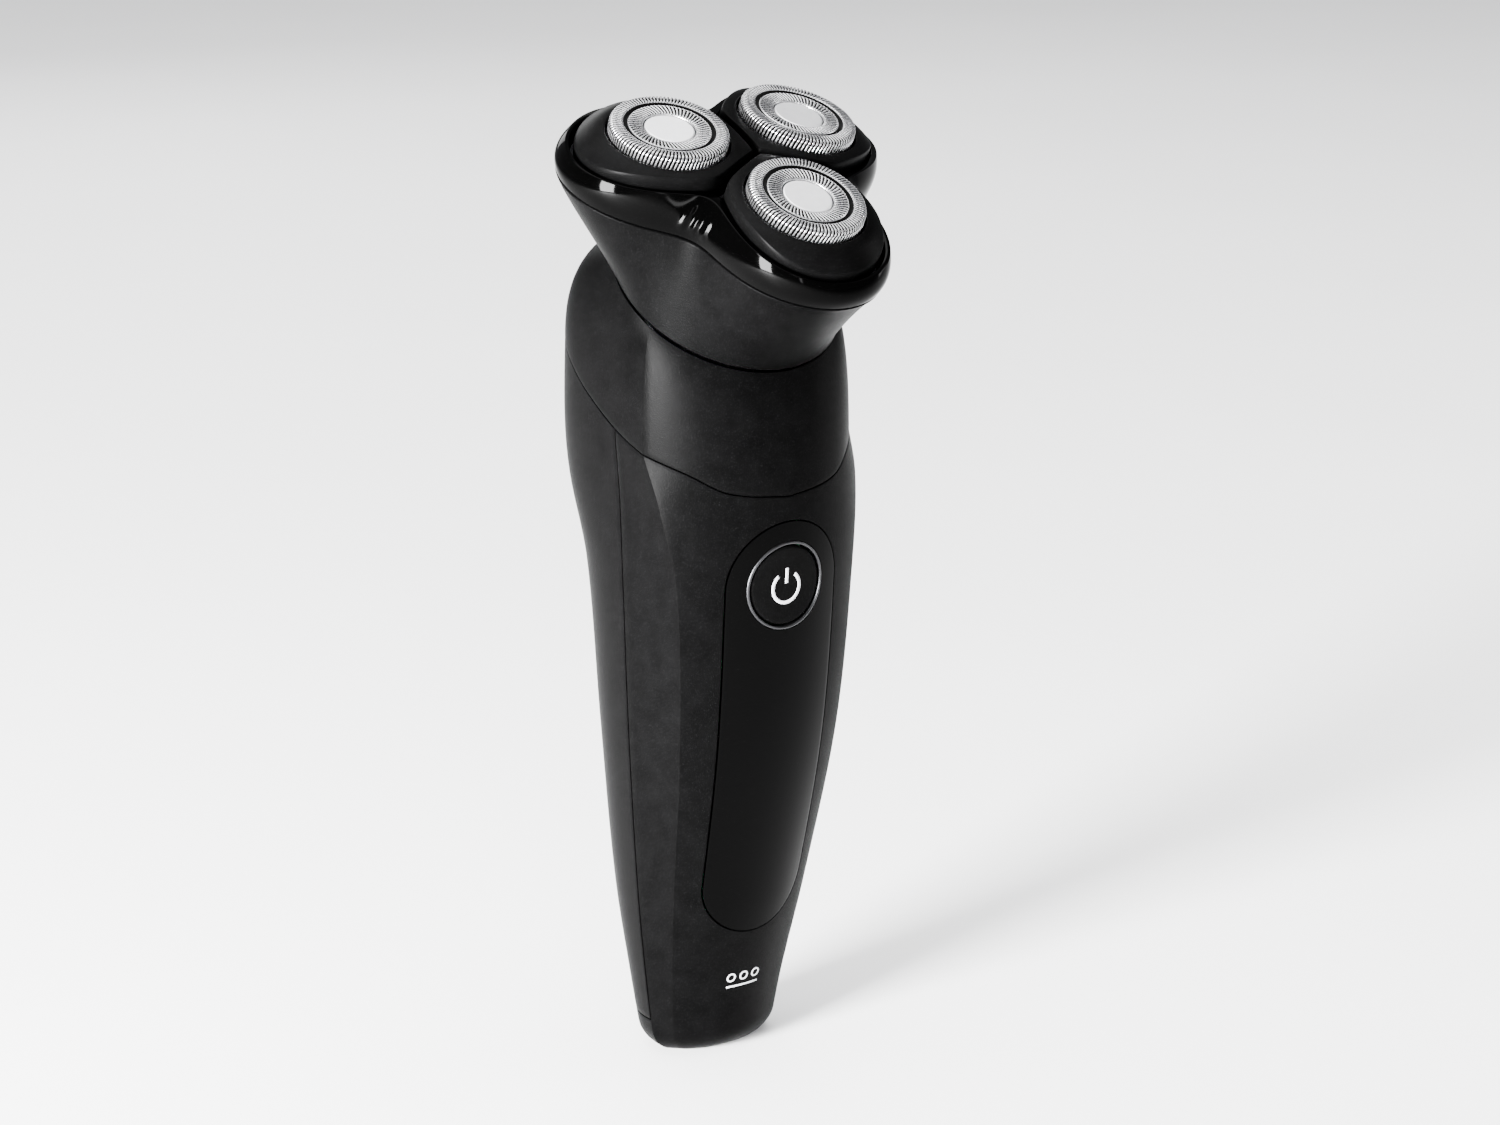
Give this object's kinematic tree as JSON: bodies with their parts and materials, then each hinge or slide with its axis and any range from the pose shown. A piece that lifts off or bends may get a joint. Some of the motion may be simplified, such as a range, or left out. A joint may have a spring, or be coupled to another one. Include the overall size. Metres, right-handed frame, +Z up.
{
  "type": "electric shaver",
  "caption": "Cordless rotary shaver that stands on its flat base: slim handle, tilting cutting heads in a lobed frame, pop-out trimmer in the back.",
  "frame": {"origin": "on the flat base, behind the middle of its front edge", "axes": "+Z up the handle, -Y the way the button and the front face, +X to the side, a right-handed frame"},
  "size_m": [0.0608, 0.0635, 0.1738],
  "materials": {
    "satin_black": "satin, fine sparkle grain",
    "gloss_black": "polished",
    "dark_plastic": "matte",
    "steel": "brushed",
    "aluminium": "satin",
    "brass": "machined",
    "acetal": "satin",
    "board": "solder mask",
    "cell_wrap": "shrink wrap over a metal can",
    "amber": "clear tinted"
  },
  "bodies": {
    "handle": {"front_shell": "satin_black", "rear_shell": "satin_black", "shoulder_cover": "satin_black", "front_panel": "gloss_black", "button_ring": "aluminium", "circuit_board": "board", "tact_switch": "dark_plastic", "charge_led": "amber", "chassis": "dark_plastic", "charging_socket": "dark_plastic", "battery": "cell_wrap", "battery_tab_bottom": "steel", "battery_tab_top": "steel", "case_screw_low": "steel", "case_screw_high": "steel", "trimmer_pin": "steel", "skirt": "satin_black", "gear_cover": "dark_plastic", "gear_plate": "dark_plastic", "motor_mount": "dark_plastic", "motor_can": "steel", "motor_cap": "dark_plastic", "spindle_spring_front": "steel", "spindle_spring_right": "steel", "spindle_spring_left": "steel"},
    "power_button": {"power_button": "satin_black"},
    "motor_rotor": {"motor_rotor": "steel", "motor_pinion": "brass"},
    "shaving_unit": {"head_bezel": "gloss_black", "pod_retainer": "dark_plastic"},
    "spindle_front": {"spindle_gear_front": "acetal", "spindle_front": "acetal"},
    "spindle_right": {"spindle_gear_right": "acetal", "spindle_right": "acetal"},
    "spindle_left": {"spindle_gear_left": "acetal", "spindle_left": "acetal"},
    "pod_front": {"pod_front": "satin_black"},
    "guard_front": {"guard_front": "steel", "guard_disc_front": "aluminium"},
    "cutter_front": {"cutter_front": "steel", "cutter_carrier_front": "acetal"},
    "pod_right": {"pod_right": "satin_black"},
    "guard_right": {"guard_right": "steel", "guard_disc_right": "aluminium"},
    "cutter_right": {"cutter_right": "steel", "cutter_carrier_right": "acetal"},
    "pod_left": {"pod_left": "satin_black"},
    "guard_left": {"guard_left": "steel", "guard_disc_left": "aluminium"},
    "cutter_left": {"cutter_left": "steel", "cutter_carrier_left": "acetal"},
    "trimmer_flap": {"trimmer_flap": "satin_black", "trimmer_comb": "steel"},
    "trimmer_blade": {"trimmer_blade": "steel"},
    "trimmer_slider": {"trimmer_slider": "satin_black"}
  },
  "joints": [
    {"name": "power_press", "type": "slide", "parent": "handle", "child": "power_button", "axis": [0, 1, 0], "range_m": [0, 0.0006], "stiffness_N_per_m": 1500},
    {"name": "motor_spin", "type": "hinge", "parent": "handle", "child": "motor_rotor", "pos_m": [0, -0.0144, 0.1665], "axis": [0, -0.4226, 0.9063], "continuous": true},
    {"name": "spindle_spin_front", "type": "hinge", "parent": "handle", "child": "spindle_front", "pos_m": [0, -0.02799, 0.16016], "axis": [0, -0.4226, 0.9063], "continuous": true},
    {"name": "spindle_spin_right", "type": "hinge", "parent": "handle", "child": "spindle_right", "pos_m": [0.01298, -0.00761, 0.16967], "axis": [0, -0.4226, 0.9063], "continuous": true},
    {"name": "spindle_spin_left", "type": "hinge", "parent": "handle", "child": "spindle_left", "pos_m": [-0.01298, -0.00761, 0.16967], "axis": [0, -0.4226, 0.9063], "continuous": true},
    {"name": "shaving_unit_lift", "type": "slide", "parent": "handle", "child": "shaving_unit", "axis": [0, -0.4226, 0.9063], "range_m": [0, 0.012]},
    {"name": "pod_tilt_front", "type": "hinge", "parent": "shaving_unit", "child": "pod_front", "pos_m": [0, -0.0259, 0.15564], "axis": [1, 0, 0], "range_deg": [-3, 3], "stiffness_Nm_per_rad": 0.6},
    {"name": "guard_float_front", "type": "slide", "parent": "pod_front", "child": "guard_front", "axis": [0, 0.4924, -0.8704], "range_m": [0, 0.0008], "stiffness_N_per_m": 900},
    {"name": "cutter_spin_front", "type": "hinge", "parent": "guard_front", "child": "cutter_front", "pos_m": [0, -0.02836, 0.15999], "axis": [0, -0.4924, 0.8704], "continuous": true},
    {"name": "pod_tilt_right", "type": "hinge", "parent": "shaving_unit", "child": "pod_right", "pos_m": [0.013, -0.00549, 0.16515], "axis": [-0.5, 0.7849, 0.366], "range_deg": [-3, 3], "stiffness_Nm_per_rad": 0.6},
    {"name": "guard_float_right", "type": "slide", "parent": "pod_right", "child": "guard_right", "axis": [-0.0679, 0.3858, -0.9201], "range_m": [0, 0.0008], "stiffness_N_per_m": 900},
    {"name": "cutter_spin_right", "type": "hinge", "parent": "guard_right", "child": "cutter_right", "pos_m": [0.01334, -0.00742, 0.16975], "axis": [0.0679, -0.3858, 0.9201], "continuous": true},
    {"name": "pod_tilt_left", "type": "hinge", "parent": "shaving_unit", "child": "pod_left", "pos_m": [-0.013, -0.00549, 0.16515], "axis": [-0.5, -0.7849, -0.366], "range_deg": [-3, 3], "stiffness_Nm_per_rad": 0.6},
    {"name": "guard_float_left", "type": "slide", "parent": "pod_left", "child": "guard_left", "axis": [0.0679, 0.3858, -0.9201], "range_m": [0, 0.0008], "stiffness_N_per_m": 900},
    {"name": "cutter_spin_left", "type": "hinge", "parent": "guard_left", "child": "cutter_left", "pos_m": [-0.01334, -0.00742, 0.16975], "axis": [-0.0679, -0.3858, 0.9201], "continuous": true},
    {"name": "trimmer_swing", "type": "hinge", "parent": "handle", "child": "trimmer_flap", "pos_m": [0, 0.0178, 0.1006], "axis": [-1, 0, 0], "range_deg": [0, 80]},
    {"name": "trimmer_blade_stroke", "type": "slide", "parent": "trimmer_flap", "child": "trimmer_blade", "axis": [1, 0, 0], "range_m": [-0.0012, 0.0012]},
    {"name": "trimmer_slider_slide", "type": "slide", "parent": "handle", "child": "trimmer_slider", "axis": [0, 0, 1], "range_m": [0, 0.003]}
  ],
  "couplings": [
    {"joint": "spindle_spin_front", "follows": "motor_spin", "ratio": -0.4},
    {"joint": "cutter_spin_front", "follows": "motor_spin", "ratio": -0.4},
    {"joint": "spindle_spin_right", "follows": "motor_spin", "ratio": -0.4},
    {"joint": "cutter_spin_right", "follows": "motor_spin", "ratio": -0.4},
    {"joint": "spindle_spin_left", "follows": "motor_spin", "ratio": -0.4},
    {"joint": "cutter_spin_left", "follows": "motor_spin", "ratio": -0.4}
  ]
}
